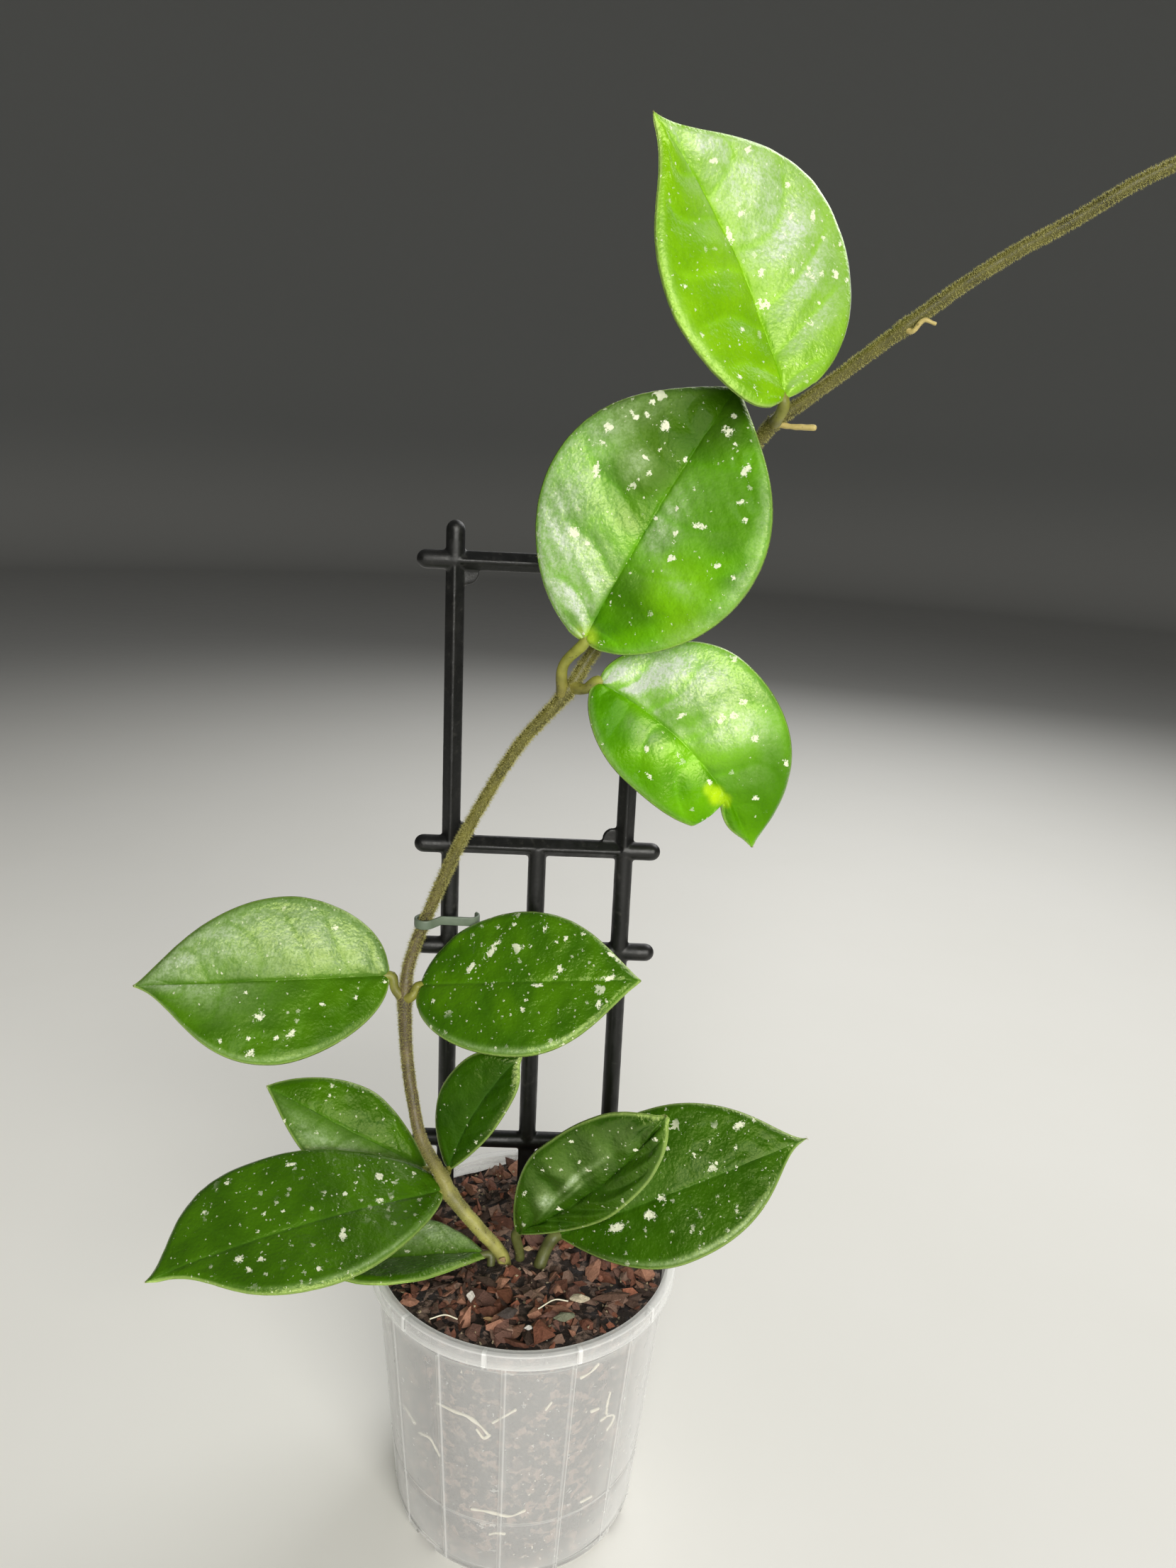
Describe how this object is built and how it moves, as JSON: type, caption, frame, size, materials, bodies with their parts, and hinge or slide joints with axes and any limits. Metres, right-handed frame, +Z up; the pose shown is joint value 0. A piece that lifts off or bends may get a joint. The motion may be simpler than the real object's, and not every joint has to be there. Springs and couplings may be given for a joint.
{
  "type": "potted plant",
  "caption": "Potted hoya with thick, glossy, speckled leaves on a long vine, clipped to a small ladder trellis in a clear, ribbed nursery pot filled with bark mix.",
  "frame": {"origin": "centre of the pot's underside, on the surface that the pot stands on", "axes": "+Z up; the plant's front, with the leaves' faces, looks to -Y; +X to the right of the front, towards the vine's free end"},
  "size_m": [0.369, 0.125, 0.5372],
  "materials": {
    "pot": "frosted, see-through, with moulded ribs",
    "mix": "damp reddish-brown bark chips and dark fines",
    "trellis": "black satin",
    "clip": "grey-green satin",
    "vine": "olive brown with short hairs",
    "leaf": "thick, waxy and glossy, mid green with cream flecks and a pale edge"
  },
  "bodies": {
    "root": {"pot": "pot", "potting_mix": "mix", "trellis": "trellis", "plant_clip": "clip", "main_vine": "vine", "leaf_top": "leaf", "leaf_upper": "leaf", "leaf_notched": "leaf", "leaf_left": "leaf", "leaf_centre": "leaf", "leaf_small_back": "leaf", "leaf_small_upright": "leaf", "leaf_low_left": "leaf", "leaf_under": "leaf", "leaf_cupped": "leaf", "leaf_low_right": "leaf"}
  },
  "joints": []
}
